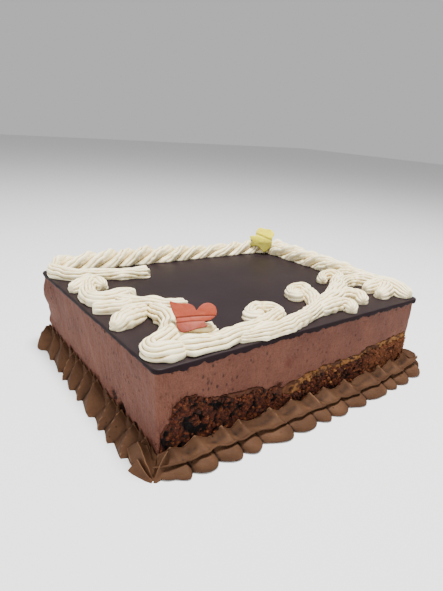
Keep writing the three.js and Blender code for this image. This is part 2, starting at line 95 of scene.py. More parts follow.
def through(pairs, x):
    at, value = np.array(pairs, float).T
    x = np.clip(x, at[0], at[-1])
    i = np.clip(np.searchsorted(at, x, side="right") - 1, 0, len(at) - 2)
    return mix(value[i], value[i + 1], ease((x - at[i]) / (at[i + 1] - at[i])))


def spread_over(values, t):
    return through(list(zip(np.linspace(0, 1, len(values)), values)), t)


def hashed(cell, seed):
    x, y, z = (cell[..., axis].astype(np.int64) for axis in range(3))
    mixed = (x * 73856093) ^ (y * 19349663) ^ (z * 83492791) ^ (seed * 40503 + 12345)
    mixed = (mixed ^ (mixed >> 13)) * 1274126177
    return ((mixed ^ (mixed >> 16)) & 0xFFFF) / 0xFFFF


def noise(points, size, seed=0):
    p = points / size
    base = np.floor(p)
    part = ease(p - base)
    total = 0
    for corner in np.ndindex(2, 2, 2):
        weight = np.prod(np.where(corner, part, 1 - part), axis=-1)
        total = total + weight * hashed(base + corner, seed)
    return 2 * total - 1


def wander(s, size, seed, across=0.0):
    s, across = np.broadcast_arrays(np.asarray(s, float), across)
    return noise(np.stack([s, across, np.zeros_like(s)], -1), size, seed)


def lumps(points, size, seed=0):
    p = points / size
    base = np.floor(p)
    nearest = np.full(p.shape[:-1], np.inf)
    for corner in np.ndindex(3, 3, 3):
        cell = base + corner - 1
        place = cell + np.stack([hashed(cell, seed + axis) for axis in (11, 12, 13)], -1)
        nearest = np.minimum(nearest, np.linalg.norm(p - place, axis=-1))
    return nearest


print("noise at three places:", wander([1.0, 2.5, 9.0], 4.0, 0).round(2))

# %% [markdown]
# A fine surface is a grid of points: rings of equal length joined into four-sided faces, with a fan
# of triangles over each end. Any closed form in this cake can be made that way. Sculpting by hand
# could do it too, but a grid is exact and repeatable. Each grid also carries a number called hollow
# for every point: 0 on a sharp crest, 1 deep in a groove, and something between on plain ground. It
# is found by smoothing the grid and seeing how far each point moves. With this number the materials
# paint the crests paler and the hollows darker, a painted highlight and painted shade that follow the form.

# %% From grids to pieces
def shell(grid, hollow=0.0, groove=None):
    rows, columns = grid.shape[:2]
    points = np.concatenate([grid.reshape(-1, 3), [grid[0].mean(0), grid[-1].mean(0)]])
    ring = np.arange(columns)
    following = (ring + 1) % columns
    rises = np.arange(rows - 1)[:, None] * columns
    corners = [rises + ring, rises + following, rises + columns + following, rises + columns + ring]
    quads = np.stack(corners, -1).reshape(-1, 4)
    tip, base = len(points) - 2, (rows - 1) * columns
    fans = [
        np.stack([np.full(columns, tip), following, ring], -1),
        np.stack([np.full(columns, tip + 1), base + ring, base + following], -1),
    ]
    a, b, c, d = (points[quads[:, k]] for k in range(4))
    volume = np.einsum("ij,ij->", np.cross(a, b), c) + np.einsum("ij,ij->", np.cross(a, c), d)
    faces = [quads, *fans] if volume > 0 else [face[:, ::-1] for face in (quads, *fans)]
    deep = np.broadcast_to(hollow, (rows, columns))
    if groove:
        deep = deep + grooves(grid, *groove) * np.sign(volume)
    deep = np.clip(deep, 0, 1).reshape(-1)
    return points, faces, np.concatenate([deep, [deep[:columns].mean(), deep[-columns:].mean()]])


def grooves(grid, rounds, depth_mm):
    around = grid.copy()
    for _ in range(rounds):
        padded = np.concatenate([around[:1], around, around[-1:]])
        rows_mean = (padded[:-2] + padded[2:]) / 2
        columns_mean = (np.roll(around, 1, 1) + np.roll(around, -1, 1)) / 2
        around = (around + rows_mean + columns_mean) / 3
    normal = np.cross(np.roll(grid, -1, 1) - np.roll(grid, 1, 1), np.gradient(grid, axis=0))
    normal /= np.linalg.norm(normal, axis=-1, keepdims=True) + 1e-9
    return ((around - grid) * normal).sum(-1) / depth_mm


def put(name, data):
    made = bpy.data.objects.new(name, data)
    bpy.context.scene.collection.objects.link(made)
    return made


def piece(name, shells, finish, node):
    points, faces, deep, start = [], [], [], 0
    for shell_points, shell_faces, shell_deep in shells:
        points.append(shell_points)
        deep.append(shell_deep)
        faces += [face for group in shell_faces for face in (group + start).tolist()]
        start += len(shell_points)
    mesh = bpy.data.meshes.new(name)
    mesh.from_pydata((np.concatenate(points) * MM).tolist(), [], faces)
    mesh.shade_smooth()
    attribute = mesh.attributes.new("hollow", "FLOAT", "POINT")
    attribute.data.foreach_set("value", np.concatenate(deep).astype(np.float32))
    mesh.materials.append(finish.material)
    made = put(name, mesh)
    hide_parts(node)
    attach(made, "root")
    size = np.ptp(np.concatenate(points), axis=0).round(1)
    print(f"{name}: {len(mesh.polygons)} faces, {size[0]} x {size[1]} x {size[2]} mm")

# %% [markdown]
# Materials are built from nodes, and writing them out link by link hides what they do. A small
# class wraps one socket, so that shader maths reads like ordinary sums. A second class is one
# finish. Its method add makes any kind of node: type, settings, then the values or links of its
# sockets. The short methods after it name what food needs: grain, patches, round spots, and the
# mesh's own hollows. A finish keeps one colour, and lay puts a further colour over it where a mask
# says so, as a brush would. Colours are given as they look on a screen, and made linear once.

# %% Shader sums and finishes
class Wire:
    def __init__(self, finish, socket):
        self.finish = finish
        self.socket = socket

    def sum(self, operation, first, second):
        return self.finish.add("Math", {"operation": operation}, {0: first, 1: second})

    def __add__(self, other):
        return self.sum("ADD", self, other)

    def __sub__(self, other):
        return self.sum("SUBTRACT", self, other)

    def __rsub__(self, other):
        return self.sum("SUBTRACT", other, self)

    def __mul__(self, other):
        return self.sum("MULTIPLY", self, other)

    __radd__ = __add__
    __rmul__ = __mul__


def linear(colour):
    parts = [value / 255 for value in colour]
    return [v / 12.92 if v <= 0.04045 else ((v + 0.055) / 1.055) ** 2.4 for v in parts] + [1.0]


EVEN = (1, 1, 1)


class Finish:
    def __init__(self, name, **constants):
        self.material = bpy.data.materials.new(name)
        self.material.use_nodes = True
        self.nodes = self.material.node_tree.nodes
        self.links = self.material.node_tree.links
        self.paint(**constants)

    def feed(self, socket, value):
        if isinstance(value, Wire):
            self.links.new(value.socket, socket)
        elif value is not None:
            socket.default_value = value

    def add(self, kind, settings=None, sockets=None, output=0):
        node = self.nodes.new("ShaderNode" + kind)
        for key, value in (settings or {}).items():
            setattr(node, key, value)
        for key, value in (sockets or {}).items():
            self.feed(node.inputs[key], value)
        return Wire(self, node.outputs[output])

    def place(self, stretch=EVEN):
        here = self.add("TexCoord", output=3)
        return self.add("VectorMath", {"operation": "MULTIPLY"}, {0: here, 1: stretch})

    def axis(self, which):
        return self.add("SeparateXYZ", {}, {0: self.place()}, which)

    def grain(self, size_mm, detail=2.0, stretch=EVEN):
        sockets = {"Vector": self.place(stretch), "Scale": 1 / (size_mm * MM), "Detail": detail}
        return self.add("TexNoise", {}, sockets)

    def cells(self, size_mm, stretch=EVEN, output=0):
        sockets = {"Vector": self.place(stretch), "Scale": 1 / (size_mm * MM)}
        return self.add("TexVoronoi", {}, sockets, output)

    def rise(self, value, low, high):
        return self.add("MapRange", {"clamp": True}, {0: value, 1: low, 2: high, 3: 0.0, 4: 1.0})

    def patches(self, size_mm, low, high, detail=2.0, stretch=EVEN):
        return self.rise(self.grain(size_mm, detail, stretch), low, high)

    def spots(self, size_mm, low, high, stretch=EVEN):
        return 1 - self.rise(self.cells(size_mm, stretch), low, high)

    def hollows(self, low, high, ragged=0.0):
        deep = self.add("Attribute", {"attribute_name": "hollow"}, {}, 2)
        return self.rise(deep + ragged, low, high)

    def blend(self, mask, first, second):
        colours = [c if isinstance(c, Wire) else linear(c) for c in (first, second)]
        sockets = {0: mask, 6: colours[0], 7: colours[1]}
        return self.add("Mix", {"data_type": "RGBA"}, sockets, 2)

    def lay(self, mask, colour, ground=None):
        self.colour = self.blend(mask, ground or self.colour, colour)

    def bump(self, height, depth_mm, under=None):
        return self.add("Bump", {}, {"Height": height, "Distance": depth_mm * MM, "Normal": under})

    def paint(self, **sockets):
        for socket, value in sockets.items():
            self.feed(self.nodes["Principled BSDF"].inputs[socket.replace("_", " ")], value)

# %% [markdown]
# The camera stands where the cake's own corners say it stood: in front of the near corner, a little
# above the cake, tilted down and very slightly rolled. Turning, tilting and rolling are three
# angles, so the camera's axes are worked out from them and put into its matrix. A small shift of
# the lens puts the cake where it is in the frame.

# %% Camera
CAMERA_PLACE = (-228.0, -301.0, 192.0)
CAMERA_YAW = radians(40.04)
CAMERA_DOWN = radians(24.88)
CAMERA_ROLL = radians(4.46)
SENSOR_WIDTH, LENS = 36.0, 27.95
LENS_SHIFT = (-0.0465, 0.0753)

ahead = Vector((
    sin(CAMERA_YAW) * cos(CAMERA_DOWN),
    cos(CAMERA_YAW) * cos(CAMERA_DOWN),
    -sin(CAMERA_DOWN),
))
level = Vector((cos(CAMERA_YAW), -sin(CAMERA_YAW), 0.0))
upright = level.cross(ahead)
right = cos(CAMERA_ROLL) * level + sin(CAMERA_ROLL) * upright
up = cos(CAMERA_ROLL) * upright - sin(CAMERA_ROLL) * level

camera = put("camera", bpy.data.cameras.new("camera"))
turned = Matrix((right, up, -ahead)).transposed().to_4x4()
camera.matrix_world = Matrix.Translation(Vector(CAMERA_PLACE) * MM) @ turned
camera.data.sensor_width = SENSOR_WIDTH
camera.data.lens = LENS
camera.data.shift_x, camera.data.shift_y = LENS_SHIFT
camera.data.clip_start = 0.01
bpy.context.scene.camera = camera
print("camera at", [round(value, 3) for value in camera.location])

# %% [markdown]
# The light is that of a small studio: white all round, one soft lamp high above the cake, and a
# weaker, wider one low in front to open the shadows. A white world alone would flatten the piping,
# and a hard lamp would draw shadows that soft light doesn't have. The floor is plain and pale, so
# that it throws light back up under the border.

# %% Light and floor
WORLD_STRENGTH = 0.55
FLOOR_REACH = 4.0
FLOOR_GREY = (228, 228, 228)


def lamp(name, place, aim, size, power):
    light = put(name, bpy.data.lights.new(name, "AREA"))
    light.location = Vector(place)
    light.rotation_mode = "QUATERNION"
    light.rotation_quaternion = (Vector(aim) - Vector(place)).to_track_quat("-Z", "Y")
    light.data.size = size
    light.data.energy = power
    return light


key_lamp = lamp("key_lamp", (0.05, -0.10, 1.15), (0, 0, 0.05), 0.30, 40)
front_lamp = lamp("front_lamp", (-0.85, -0.8, 0.5), (0, 0, 0.03), 0.9, 7.5)

world = bpy.data.worlds.new("studio")
world.use_nodes = True
background = world.node_tree.nodes["Background"].inputs
background["Color"].default_value = (1, 1, 1, 1)
background["Strength"].default_value = WORLD_STRENGTH
bpy.context.scene.world = world

floor_mesh = bpy.data.meshes.new("floor")
floor_signs = [(-1, -1), (1, -1), (1, 1), (-1, 1)]
floor_mesh.from_pydata([(x * FLOOR_REACH, y * FLOOR_REACH, 0) for x, y in floor_signs], [], [(0, 1, 2, 3)])
floor = put("floor", floor_mesh)
pale_floor = Finish("pale_floor", Roughness=0.9, Specular_IOR_Level=0.1, Base_Color=linear(FLOOR_GREY))
floor_mesh.materials.append(pale_floor.material)
print("lamps:", key_lamp.data.energy, "and", front_lamp.data.energy, "watts")

# %% [markdown]
# The layers, the glaze and the border all follow the cake's outline, a rectangle with small round
# corners. One class walks round it: given a distance along the walk, it knows the point, the
# direction outward and the side. A layer is then a ring of points for each height, moved in or out
# by as much as that layer is uneven. The walk goes from the left back corner down the left side,
# along the front, up the right side and home along the back. Its steps are shortest on the front,
# where the crumb shows, and longest on the back.

# %% Walk round the cake
SIDE_STEPS = (1.0, 0.6, 0.9, 1.6)
CORNER_ARC = pi / 2 * CORNER_RADIUS
SIDE_LENGTHS = np.array([CAKE_DEPTH, CAKE_WIDTH, CAKE_DEPTH, CAKE_WIDTH]) - 2 * CORNER_RADIUS
SIDE_STARTS = np.concatenate([[0], np.cumsum(SIDE_LENGTHS + CORNER_ARC)])
OUTLINE = SIDE_STARTS[4]
LEFT, FRONT, RIGHT, BACK = range(4)
SMALLEST_CORNER = 0.3


class Walk:
    def __init__(self, s):
        self.s = np.mod(s, OUTLINE)
        self.side = np.clip(np.searchsorted(SIDE_STARTS, self.s, side="right") - 1, 0, 3)
        length = SIDE_LENGTHS[self.side]
        along = self.s - SIDE_STARTS[self.side] - CORNER_ARC / 2 - length / 2
        past = np.maximum(0, np.abs(along) - length / 2) * np.sign(along)
        turn = past / CORNER_RADIUS
        heading = (self.side - 1) * pi / 2
        ahead_way = np.stack([np.cos(heading), np.sin(heading)])
        out_way = np.stack([np.sin(heading), -np.cos(heading)])
        reach = np.where(self.side % 2 == 1, CAKE_DEPTH / 2, CAKE_WIDTH / 2)
        forward = along - past + CORNER_RADIUS * np.sin(turn)
        outward = reach - CORNER_RADIUS * (1 - np.cos(turn))
        self.x, self.y = ahead_way * forward + out_way * outward
        self.normal = out_way * np.cos(turn) + ahead_way * np.sin(turn)
        self.corner = np.abs(along) > length / 2 - 0.001

    def points(self, outward, z):
        inside = np.where(self.corner, np.maximum(0, SMALLEST_CORNER - CORNER_RADIUS - outward), 0)
        moved = [
            at + direction * (outward + inside) - inside * np.sign(at)
            for at, direction in zip((self.x, self.y), self.normal)
        ]
        return np.stack(np.broadcast_arrays(*moved, z), -1)


cake = Walk(np.concatenate([
    np.linspace(start, end, round((end - start) / step), endpoint=False)
    for start, end, step in zip(SIDE_STARTS, SIDE_STARTS[1:], SIDE_STEPS)
]))


def rings(outward_and_z):
    return np.stack([cake.points(outward, z) for outward, z in outward_and_z])


print("once round the cake:", round(float(OUTLINE)), "mm,", len(cake.s), "places")

# %% [markdown]
# The layers aren't level. On the cut front the sponge stands high near the left, dips in the middle
# where the custard thickens, and evens out to the right, and mousse covers it on the left and the
# back. These few curves say so, and the sponge, the custard and the mousse are all made from them,
# so that they lie on one another exactly.

# %% Where the layers are
SPONGE_TOP = [
    (-122, 22), (-117, 28), (-113, 38), (-108, 42), (-99, 42), (-90, 36), (-80, 33), (-66, 30), (-48, 29),
    (-38, 24), (-24, 17), (-12, 16), (0, 23), (20, 25), (55, 25), (72, 29), (95, 31), (125, 32),
]
SPONGE_TOP_RIGHT = 31
CUSTARD_ON_FRONT = [
    (-90, 0.5), (-80, 2.5), (-66, 3.5), (-38, 3), (-26, 8), (-12, 10.5), (0, 6), (20, 5.5), (60, 4.5),
    (125, 4),
]
BARE_ON_FRONT = [(-123.8, 0), (-122.6, 1)]
BARE_ON_RIGHT = [(84, 1), (93, 0)]
WALL_BACK, RIM_BACK, MIDDLE_BACK = 0.4, 2.5, 9.0


def uneven(s, length, seed):
    turns = 2 * pi * s / length
    return 0.6 * np.sin(turns + seed) + 0.4 * np.sin(2.3 * turns + 1.7 * seed)


on_front = cake.side == FRONT
on_right = cake.side == RIGHT
bare = np.where(on_front, through(BARE_ON_FRONT, cake.x), 0.0)
bare = np.where(on_right, through(BARE_ON_RIGHT, cake.y), bare)
rough = uneven(cake.s, 17, 1) + 0.6 * uneven(cake.s, 7.3, 2)
seen_top = np.where(on_right, SPONGE_TOP_RIGHT + uneven(cake.s, 60, 3), SPONGE_HEIGHT)
seen_top = np.where(on_front, through(SPONGE_TOP, cake.x), seen_top)
sponge_top = mix(SPONGE_HEIGHT, seen_top + 0.7 * rough, bare)
layer_side = mix(-MOUSSE_SKIN, -0.3 + 0.2 * rough, bare)
seen_custard = np.where(on_front, through(CUSTARD_ON_FRONT, cake.x), CUSTARD_THICKNESS)
custard_bottom = sponge_top + GAP
custard_top = custard_bottom + mix(CUSTARD_THICKNESS, seen_custard, bare)


near_rim, far_in = layer_side - RIM_BACK, layer_side - MIDDLE_BACK


def layer_wall(bottom, top, rows, relief=0.0, lift=0.0):
    relief, lift = (np.broadcast_to(value, (len(rows), len(cake.s))) for value in (relief, lift))
    return rings([
        (layer_side - WALL_BACK + relief[k], mix(bottom, top, t) + lift[k]) for k, t in enumerate(rows)
    ])


print("the sponge's top runs from", sponge_top.min().round(1), "to", sponge_top.max().round(1), "mm")

# %% [markdown]
# Dark chocolate sponge, where a knife has dragged through it, is all crumb: round lumps of two
# sizes with black holes between them. A picture of crumb on a flat wall looks flat at its edges, so
# the lumps are in the mesh. Each place moves out by how close it is to the middle of a lump, and in
# where a third, slower pattern opens a hole. The same numbers go into hollow, and the material is
# painted darker there, as painted shade in the holes and between the lumps. Loose crumbs, which are
# small dented balls, are strewn over the face and thickest along its top. Toward the right the
# sponge is paler and its holes are less dark.

# %% Crumb
def crumb(points, coarse, fine, seed):
    bent = points + 1.2 * noise(points, 0.8 * coarse, seed + 3)[..., None]
    big = 0.62 - lumps(bent, coarse, seed)
    small = 0.6 - lumps(bent, fine, seed + 5)
    hole = np.clip(noise(points, 0.9 * coarse, seed + 9) - 0.22, 0, 1)
    relief = 2.0 * big + 1.8 * small - 4.6 * hole
    return relief, np.clip(0.40 - 0.7 * (big + 1.4 * small) + 1.5 * hole, 0, 1)


CRUMB_ROWS, CRUMB_COLUMNS = 5, 8
crumb_down = np.linspace(0.2, pi - 0.2, CRUMB_ROWS)[:, None]
crumb_round = np.linspace(0, 2 * pi, CRUMB_COLUMNS, endpoint=False)
crumb_side = np.sin(crumb_down)
crumb_ball = np.stack(np.broadcast_arrays(
    crumb_side * np.cos(crumb_round), crumb_side * np.sin(crumb_round), np.cos(crumb_down),
), -1)


def loose_crumbs(places, smallest, largest, seed):
    chance = np.random.default_rng(seed)
    made = []
    for x, z in places:
        size = mix(smallest, largest, chance.random() ** 2)
        stretch = size * chance.uniform(0.7, 1.2, 3)
        dents = 1 + 0.45 * noise(crumb_ball + 10 * chance.random(3), 0.8, seed)[..., None]
        at = np.array([x, -CAKE_DEPTH / 2 + chance.uniform(-0.7, 0.4) * size, z])
        made.append(shell(at + crumb_ball * stretch * dents, chance.random() ** 2 * 0.8))
    return made


def along_boundary(count, start, end, spread, seed):
    chance = np.random.default_rng(seed)
    x = chance.uniform(start, end, count)
    return np.stack([x, through(SPONGE_TOP, x) + chance.normal(0, spread, count)], -1)


def over_face(count, start, end, seed):
    chance = np.random.default_rng(seed)
    x = chance.uniform(start, end, count)
    return np.stack([x, mix(6, through(SPONGE_TOP, x) - 1, chance.random(count))], -1)


print("one crumb has", CRUMB_ROWS * CRUMB_COLUMNS + 2, "points")

# %% Sponge
sponge_rows = np.linspace(0, 1, 60)
sponge_wall = layer_wall(0, sponge_top, sponge_rows)
relief, sponge_deep = crumb(sponge_wall, 4.0, 2.0, 1)
relief = np.clip(relief, -4.0, 1.2) * bare
lift = 0.9 * noise(sponge_wall, 2.6, 4) * bare * ease(sponge_rows)[:, None]
sponge_wall = layer_wall(0, sponge_top, sponge_rows, relief, lift)
sponge_cover = rings([(near_rim, sponge_top - 0.2), (far_in, SPONGE_HEIGHT)])
sponge_grid = np.concatenate([sponge_wall, sponge_cover])
sponge_deep = np.concatenate([sponge_deep, sponge_deep[-2:]])

X, Z = 0, 2
sponge = Finish("dark_sponge", Roughness=0.9, Specular_IOR_Level=0.25)
finer = sponge.rise(sponge.axis(X) + 0.04 * (sponge.grain(12.0) - 0.5), 55 * MM, 80 * MM)
# Paler specks scattered at random: painted highlights on the crumbs.
highlight_specks = sponge.add("SeparateXYZ", {}, {0: sponge.cells(1.7, output=1)})
sponge.lay(sponge.patches(1.5, 0.42, 0.66), (94, 42, 19), ground=(48, 18, 8))
sponge.lay(0.5 * sponge.patches(5.0, 0.4, 0.62, 3.0), (46, 19, 9))
sponge.lay(0.6 * sponge.rise(highlight_specks, 0.7, 0.95), (122, 68, 36))
sponge.lay(0.6 * finer, (112, 66, 38))
# Painted shade: darker in the holes and between the lumps, less dark toward the right.
shaded_holes = sponge.hollows(0.3, 0.75, 0.35 * (sponge.grain(0.9, 1.0) - 0.5))
sponge.lay(shaded_holes * (1 - 0.5 * finer), (12, 5, 3))
sponge.paint(Base_Color=sponge.colour, Normal=sponge.bump(sponge.grain(0.7), 0.5))

crumb_places = np.concatenate([
    along_boundary(190, -116, 0, 1.0, 7),
    along_boundary(90, 0, 122, 0.8, 8),
    over_face(330, -116, 122, 9),
    [(x, mix(26.5, 29.8, (x + 42) / 16) + 0.8 * sin(3 * x)) for x in np.arange(-42, -26, 1.0)],
])
sponge_shells = [shell(sponge_grid, sponge_deep), *loose_crumbs(crumb_places, 0.45, 1.5, 10)]
piece("sponge_crumb", sponge_shells, sponge, "sponge")

# %% [markdown]
# The strip of custard sponge is thin, pale and torn in places. It is made like the sponge it lies
# on, from the same walk and the same curves, with slightly larger lumps and less relief. Where the
# strip thins out to nothing on the left, it keeps half a millimetre, so that it stays one closed
# piece, and mousse is smeared over it there.

# %% Custard sponge
custard_rows = np.linspace(0, 1, 9)
relief, custard_deep = crumb(layer_wall(custard_bottom, custard_top, custard_rows), 4.6, 2.2, 21)
relief = np.clip(0.7 * relief, -1.8, 0.6) * bare
custard_wall = layer_wall(custard_bottom, custard_top, custard_rows, relief)
custard_middle = SPONGE_HEIGHT + GAP
custard_under = rings([(far_in, custard_middle), (near_rim, custard_bottom)])
custard_over = rings([(near_rim, custard_top), (far_in, custard_middle + CUSTARD_THICKNESS)])
custard_grid = np.concatenate([custard_under, custard_wall, custard_over])
custard_deep = np.concatenate([custard_deep[:1], custard_deep[:1], custard_deep, custard_deep[-2:]])

custard = Finish("custard_sponge", Roughness=0.85, Specular_IOR_Level=0.25)
smeared = 1 - custard.rise(custard.axis(X) + 0.03 * custard.grain(9.0), -14 * MM, 10 * MM)
custard.lay(custard.patches(4.0, 0.35, 0.65, 3.0), (138, 95, 49), ground=(100, 60, 30))
custard.lay(0.85 * custard.patches(5.5, 0.50, 0.58, 3.0, (1, 1, 1.6)), (52, 25, 13))
# Painted shade: darker in the hollows of the crumb.
custard.lay(custard.hollows(0.4, 0.85, 0.4 * (custard.grain(1.0, 1.0) - 0.5)), (40, 19, 9))
custard.lay(0.9 * smeared, (66, 33, 21))
custard.paint(Base_Color=custard.colour, Normal=custard.bump(custard.grain(0.8), 0.4))

custard_places = np.concatenate([along_boundary(18, -8, 42, 2.4, 17), over_face(7, 0, 36, 18)])
custard_shells = [shell(custard_grid, custard_deep), *loose_crumbs(custard_places, 0.6, 1.9, 19)]
piece("custard_strip", custard_shells, custard, "custard_layer")

# %% [markdown]
# The mousse is soft and was trimmed with a hot knife: a matt wall with fine upright drag marks, tiny
# air holes, a ragged lower edge where it meets the sponge, and a few hollows low on the left, where
# it didn't close over the sponge. The wall is one fine grid, whose lower edge follows the custard's
# top where the layers show and reaches the foot where it hangs down over them. The smallest holes,
# which are finer than the grid, and one reddish smear on the front are in the material. The holes and
# the pits are painted dark, as painted shade, and the open hollows show the sponge's colour.

# %% Mousse
HOLLOWS = [(-10, 18.5, 5, 4), (-37, 18, 10, 9), (-50, 14, 11, 12), (-72, 12, 8, 7)]
SMEAR_AT = (-21.6, -101.5, 44.6)
PIT_SPACING, PIT_RADIUS, PIT_DEPTH = 9.0, 1.4, 0.9
HOLLOW_DEPTH = 3.6
from_corner = np.minimum(cake.s, OUTLINE - cake.s)


def mousse_outward(z):
    bulge = 3 * np.exp(-((from_corner / 16) ** 2)) * np.sin(pi * np.clip((z - 38) / 24, 0, 1))
    return -mix(0.5, 1.0, bare) + 0.3 * uneven(cake.s + 0.6 * z, 43, z / 30) + bulge


def open_hollows(spots, z):
    opened = 0 * z
    for y, height, length, tall in HOLLOWS:
        away = np.hypot((cake.y - y) / (length / 2), (z - height) / (tall / 2))
        away = away + 0.28 * noise(spots, 2.2, 36)
        opened = np.maximum(opened, np.clip((1.15 - away) / 0.4, 0, 1))
    return np.where(cake.side == LEFT, opened, 0.0)


torn = 0.8 * wander(cake.s, 3.1, 31) + 0.5 * wander(cake.s, 1.3, 32)
mousse_foot = mix(MOUSSE_FOOT, custard_top + GAP + 0.4 + 0.6 * torn, bare)
mousse_wall, mousse_deep = [], []
for t in np.linspace(0, 1, 62):
    z = mix(mousse_foot, MOUSSE_TOP, t)
    spots = np.stack([cake.s, z, 0 * z], -1)
    drag = 0.20 * wander(cake.s + 0.15 * z, 2.1, 33, 0.40 * z)
    soft = (0.16 + 1.0 * np.exp(-((from_corner / 5) ** 2))) * wander(cake.s, 6.0, 34, z)
    pits = np.clip(1 - lumps(spots, PIT_SPACING, 35) * PIT_SPACING / PIT_RADIUS, 0, 1)
    opened = open_hollows(spots, z)
    crumbly = opened * (1.0 - 0.8 * lumps(spots, 2.4, 37))
    outward = mousse_outward(z) + drag + soft - PIT_DEPTH * pits - HOLLOW_DEPTH * crumbly
    mousse_wall.append(cake.points(outward, z))
    mousse_deep.append(np.maximum(0.55 * pits, opened))
under_height = mix(MOUSSE_FOOT, SPONGE_HEIGHT + CUSTARD_THICKNESS + 3 * GAP, bare)
mousse_under = rings([(far_in, under_height), (near_rim, mousse_foot + 0.3)])
mousse_grid = np.concatenate([mousse_under, mousse_wall, rings([(-3.0, MOUSSE_TOP)])])
mousse_deep = np.pad(mousse_deep, ((2, 1), (0, 0)))

mousse = Finish(
    "chocolate_mousse", Roughness=0.75, Specular_IOR_Level=0.3,
    Subsurface_Weight=0.1, Subsurface_Radius=(0.004, 0.002, 0.001),
)
streaks = mousse.grain(2.2, 3.0, (1, 1, 0.30))
fibres = mousse.grain(0.9, 2.0, (1, 1, 0.35))
tone = mousse.rise(mousse.grain(22, 3.0) + 0.4 * (streaks - 0.5) + 0.6 * (fibres - 0.5), 0.25, 0.8)
# Tiny air holes, dented by the bump and painted dark as the shade inside them.
shaded_pinholes = mousse.spots(4.2, 0.12, 0.23, (1, 1, 0.6)) * (0.35 + 0.65 * mousse.patches(28, 0.42, 0.6, 1.0))
shaded_holes = mousse.spots(7.5, 0.05, 0.11, (1, 1, 0.7))
# The open hollows show the sponge's own colour; the pits in the grid get the same dark colour as painted
# shade.
sponge_and_pit_shade = mousse.blend(mousse.patches(1.6, 0.4, 0.65), (22, 9, 6), (78, 40, 26))
smear_place = {0: mousse.place(), 1: [value * MM for value in SMEAR_AT]}
from_smear = mousse.add("VectorMath", {"operation": "DISTANCE"}, smear_place, 1)
smear = 1 - mousse.rise(from_smear + 0.007 * (mousse.grain(3.0) - 0.5), 1 * MM, 6 * MM)
mousse.lay(tone, (110, 67, 50), ground=(88, 48, 35))
mousse.lay(0.75 * shaded_pinholes, (48, 24, 18))
mousse.lay(0.8 * shaded_holes, (44, 20, 16))
mousse.lay(mousse.hollows(0.35, 0.7), sponge_and_pit_shade)
mousse.lay(0.7 * smear, (84, 34, 22))
drag_marks = mousse.bump(0.6 * streaks + 1.1 * fibres + 0.7 * mousse.grain(1.5), 1.0)
mousse.paint(Base_Color=mousse.colour, Normal=mousse.bump(0 - shaded_pinholes - shaded_holes, 0.5, drag_marks))
piece("mousse_block", [shell(mousse_grid, mousse_deep)], mousse, "mousse")

# %% [markdown]
# The glaze was poured as a thin sheet and set. Its top is smooth with a low gloss, and only the top
# has the gloss. The sheet laps a millimetre over the mousse all round, and its lower edge hangs
# down unevenly: smooth on the left, ragged on the front, and lowest just right of the near corner.
# It is made of rings too. They grow from the middle of the top, lie close together where the rim is
# rounded, and turn in under the lip.

# %% Glaze
RIM_RADIUS = 0.5
GLAZE_SPREAD = (0.02, 0.15, 0.3, 0.45, 0.6, 0.75, 0.87, 0.95, 0.985)
past_corner = cake.s - SIDE_STARTS[FRONT]
rough_edge = mix(0.35, 1.0, ease(np.clip(past_corner / 12, 0, 1)))
near_corner = np.exp(-(((past_corner - 25) / 40) ** 2))
hang = 0.5 + rough_edge * (0.5 + (0.6 + 0.5 * near_corner) * (1 + uneven(cake.s, 21, 5)))
hang = hang + rough_edge * 0.5 * wander(cake.s, 2.6, 41)
hang = hang + rough_edge * 0.3 * wander(cake.s, 1.3, 44)
glaze_foot = GLAZE_BOTTOM - np.maximum(0.3, hang)
rim = GLAZE_OVERHANG + 0.25 * wander(cake.s, 9.0, 42)
glaze_rim = [
    (rim - RIM_RADIUS * (1 - np.sin(turn)), CAKE_HEIGHT - RIM_RADIUS * (1 - np.cos(turn)))
    for turn in np.linspace(0, pi / 2, 5)
]
glaze_wall = [
    (rim - 0.1 * t + 0.25 * sin(pi * t), mix(CAKE_HEIGHT - RIM_RADIUS, glaze_foot, t))
    for t in np.linspace(0.2, 1, 6)
]
glaze_under = [(0.45, glaze_foot + 0.1), (GAP, GLAZE_BOTTOM), (-20, GLAZE_BOTTOM)]
glaze_edge = rings([*glaze_rim, *glaze_wall, *glaze_under])
glaze_flat = mix(np.array([0, 0, CAKE_HEIGHT]), glaze_edge[:1], np.array(GLAZE_SPREAD)[:, None, None])
glaze_flat[..., 2] -= 0.12 * noise(glaze_flat, 40.0, 43) ** 2
glaze_grid = np.concatenate([glaze_flat, glaze_edge])

glaze = Finish("dark_glaze", Roughness=0.6, Specular_IOR_Level=0.05, Coat_Roughness=0.5)
level = glaze.rise(glaze.axis(Z), (CAKE_HEIGHT - 0.8) * MM, (CAKE_HEIGHT - 0.1) * MM)
sheen = level * (0.24 + 0.08 * glaze.grain(25))
glaze.lay(glaze.patches(60, 0.3, 0.7), (31, 20, 23), ground=(25, 15, 18))
glaze.lay(0.3 * glaze.spots(14, 0.03, 0.05), (70, 56, 54))
glaze.paint(Base_Color=glaze.colour, Coat_Weight=sheen, Normal=glaze.bump(glaze.grain(9, 1.0), 0.12))
piece("glaze_sheet", [shell(glaze_grid)], glaze, "glaze")

# %% [markdown]
# The border was piped with a large star nozzle, moved in and out against the cake. On the front and
# the right it makes cups above, a thin wavy ridge with a fold under it, and round puffs below with
# sharp valleys between them. On the left and the back it makes pleats, each with one sharp crest
# that runs down to a pointed tip. Both are a section that is swept along the side while its points
# rise and swell with the turns, which are counted along the middle of the border, so that pleats
# don't bunch up at a corner. On the left a smaller row stands behind, half a turn further on.

